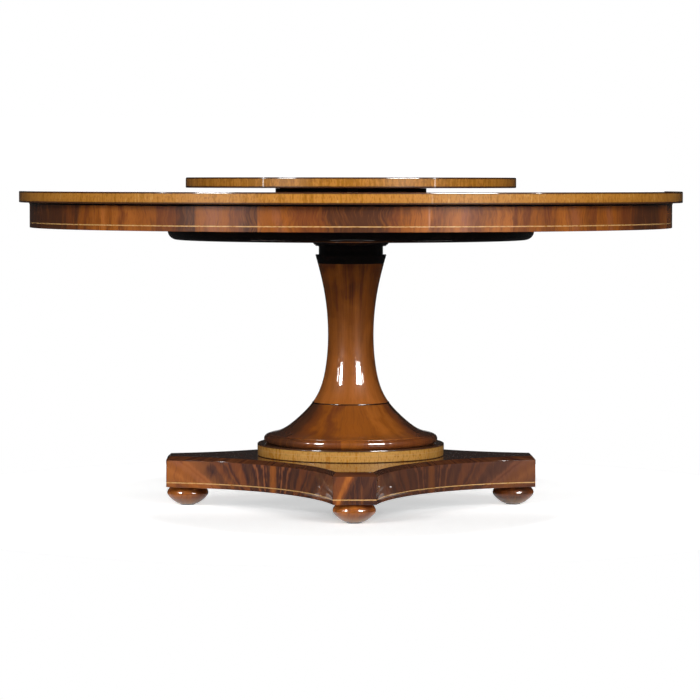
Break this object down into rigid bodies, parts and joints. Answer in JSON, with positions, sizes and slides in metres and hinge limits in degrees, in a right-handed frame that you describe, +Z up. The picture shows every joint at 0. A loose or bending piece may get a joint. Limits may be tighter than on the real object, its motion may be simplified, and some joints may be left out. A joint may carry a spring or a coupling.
{
  "type": "round pedestal table",
  "caption": "Round veneered dining table on a turned waisted column and hollow-sided plinth with bun feet, with a revolving round tray on its centre.",
  "frame": {"origin": "on the floor under the middle of the column", "axes": "+Z up along the column; the plinth's four cut corners, each over a foot, lie on the X and Y axes, and the ball race's loading plug faces -Y"},
  "size_m": [1.6, 1.5999, 0.795],
  "materials": {
    "satinwood": "gloss French polish",
    "mahogany": "gloss French polish",
    "crotch_mahogany": "gloss French polish",
    "ebonised": "gloss",
    "boxwood": "gloss",
    "beech": "bare, planed",
    "black_aluminium": "black anodised",
    "steel": "zinc plated",
    "nylon": "moulded",
    "glide_plastic": "moulded"
  },
  "bodies": {
    "table": {"race_outer_ring": "black_aluminium", "race_loading_plug": "steel", "race_screws": "steel", "tabletop_panel": "mahogany", "tabletop_edge_band": "satinwood", "apron": "crotch_mahogany", "apron_stringing": "boxwood", "apron_bead": "ebonised", "apron_glue_blocks": "beech", "bearer_front": "beech", "bearer_back": "beech", "bearer_left": "beech", "bearer_right": "beech", "top_screws": "steel", "sub_top_board": "ebonised", "sub_top_screws": "steel", "neck_moulding": "ebonised", "neck_block": "ebonised", "column_collar": "ebonised", "column_bead": "ebonised", "column_shaft": "mahogany", "column_bell": "crotch_mahogany", "column_torus": "crotch_mahogany", "pedestal_disc": "satinwood", "plinth_top_board": "mahogany", "plinth_stringing": "boxwood", "brace_side_to_side": "beech", "brace_front_to_back": "beech", "tie_rod": "steel", "tie_rod_washers": "steel", "tie_rod_nuts": "steel", "foot_bolts": "steel", "glides": "glide_plastic", "corner_block_right": "crotch_mahogany", "foot_right": "mahogany", "corner_block_back": "crotch_mahogany", "foot_back": "mahogany", "corner_block_left": "crotch_mahogany", "foot_left": "mahogany", "corner_block_front": "crotch_mahogany", "foot_front": "mahogany", "plinth_rail_back_right": "crotch_mahogany", "plinth_rail_back_left": "crotch_mahogany", "plinth_rail_front_left": "crotch_mahogany", "plinth_rail_front_right": "crotch_mahogany"},
    "tray": {"tray_panel": "mahogany", "tray_edge_band": "satinwood", "race_inner_ring": "black_aluminium", "tray_screws": "steel"},
    "ball_cage": {"ball_cage": "nylon", "race_balls": "steel"}
  },
  "joints": [
    {"name": "tray_spin", "type": "hinge", "parent": "table", "child": "tray", "pos_m": [0, 0, 0.766], "axis": [0, 0, 1], "continuous": true},
    {"name": "cage_spin", "type": "hinge", "parent": "table", "child": "ball_cage", "pos_m": [0, 0, 0.766], "axis": [0, 0, 1], "continuous": true}
  ],
  "couplings": [
    {"joint": "cage_spin", "follows": "tray_spin", "ratio": 0.4955}
  ]
}
